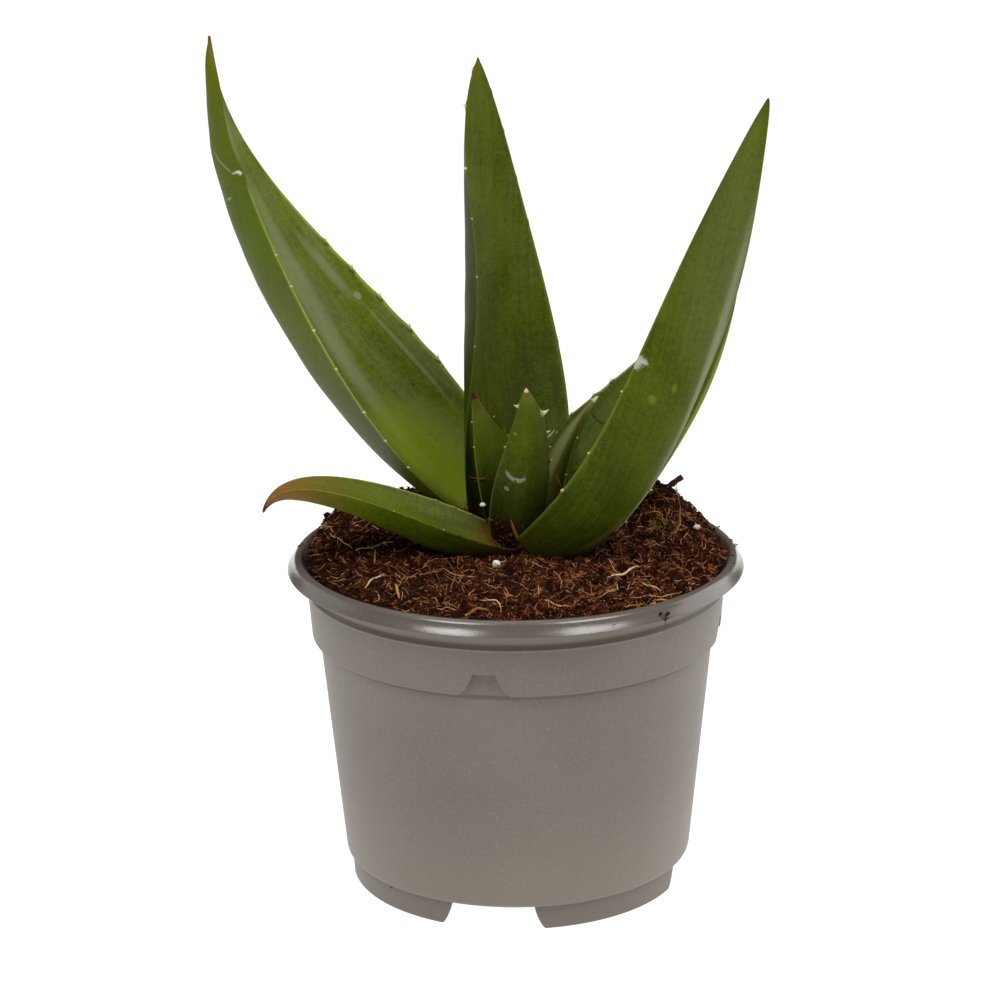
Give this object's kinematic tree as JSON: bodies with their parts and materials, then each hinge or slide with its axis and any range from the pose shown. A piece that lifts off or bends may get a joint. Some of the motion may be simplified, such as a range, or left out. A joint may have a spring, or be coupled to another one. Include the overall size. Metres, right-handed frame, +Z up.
{
  "type": "potted aloe plant",
  "caption": "Young aloe with toothed, channelled leaves on a short stem, rooted in coir soil in a round plastic nursery pot with a rolled rim.",
  "frame": {"origin": "on the ground, under the middle of the box round the whole plant", "axes": "+Z up; the pictured side of the plant faces -Y and +X is to its right"},
  "size_m": [0.1422, 0.12, 0.2199],
  "materials": {
    "leaf": "satin",
    "young_leaf": "satin",
    "stem": "matte",
    "soil": "matte",
    "perlite": "matte",
    "bark": "matte",
    "pot": "satin"
  },
  "bodies": {
    "root": {"leaf_inner_right": "young_leaf", "leaf_inner_left": "young_leaf", "leaf_front_small": "young_leaf", "leaf_right_rear": "leaf", "leaf_centre_tall": "leaf", "leaf_right_tall": "leaf", "leaf_left_tall": "leaf", "leaf_low_left": "leaf", "stem": "stem", "soil": "soil", "perlite_front": "perlite", "perlite_right": "perlite", "bark_twig": "bark", "pot": "pot"}
  },
  "joints": []
}
